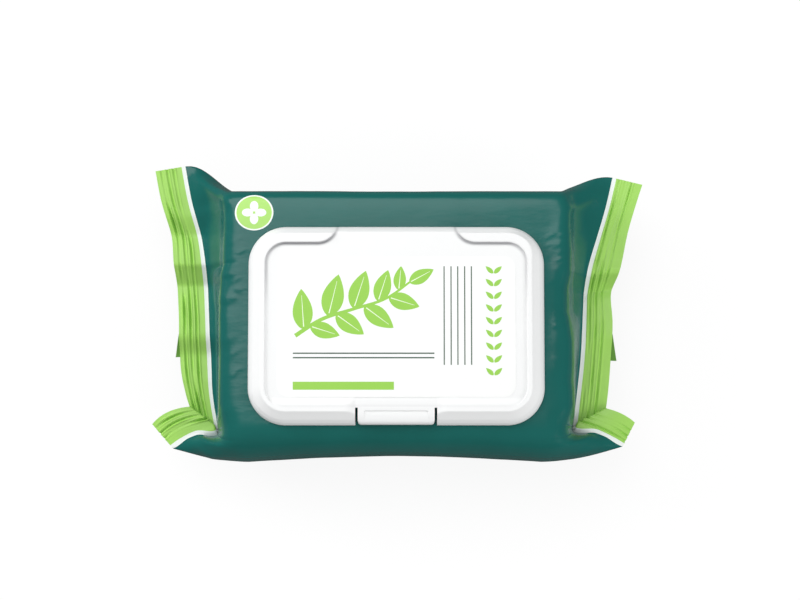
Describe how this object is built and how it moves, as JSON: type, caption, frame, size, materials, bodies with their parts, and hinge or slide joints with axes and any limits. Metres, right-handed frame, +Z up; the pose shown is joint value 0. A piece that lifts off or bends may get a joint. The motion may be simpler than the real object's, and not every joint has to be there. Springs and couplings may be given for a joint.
{
  "type": "wet wipes pack",
  "caption": "Sealed film pack of moist wipes with crimped end seals, folded corners and a large rigid flip-top lid with a thumb tab.",
  "frame": {"origin": "on the flat underside that the pack rests on, below the middle of the lid along the pack and 3.4 mm behind the middle of the lid across it", "axes": "+X along the pack from one end seal to the other, +Y from the thumb tab towards the lid's hinge, +Z up out of the lid"},
  "size_m": [0.2255, 0.1366, 0.058],
  "materials": {
    "printed_film": "satin printed laminate film",
    "peel_film": "satin film with peelable adhesive",
    "moulded_polypropylene": "satin injection moulding",
    "label_film": "satin printed film label"
  },
  "bodies": {
    "pack": {"film_pouch": "printed_film", "peel_seal": "peel_film", "lid_base": "moulded_polypropylene"},
    "cover": {"lid_cover": "moulded_polypropylene", "cover_label": "label_film"},
    "tab": {"latch_tab": "moulded_polypropylene"}
  },
  "joints": [
    {"name": "cover_hinge", "type": "hinge", "parent": "pack", "child": "cover", "pos_m": [0, 0.0409, 0.051], "axis": [-1, 0, 0], "range_deg": [0, 115]},
    {"name": "tab_flex", "type": "hinge", "parent": "cover", "child": "tab", "pos_m": [0, -0.0405, 0.057], "axis": [-1, 0, 0], "range_deg": [0, 8], "stiffness_Nm_per_rad": 0.08}
  ]
}
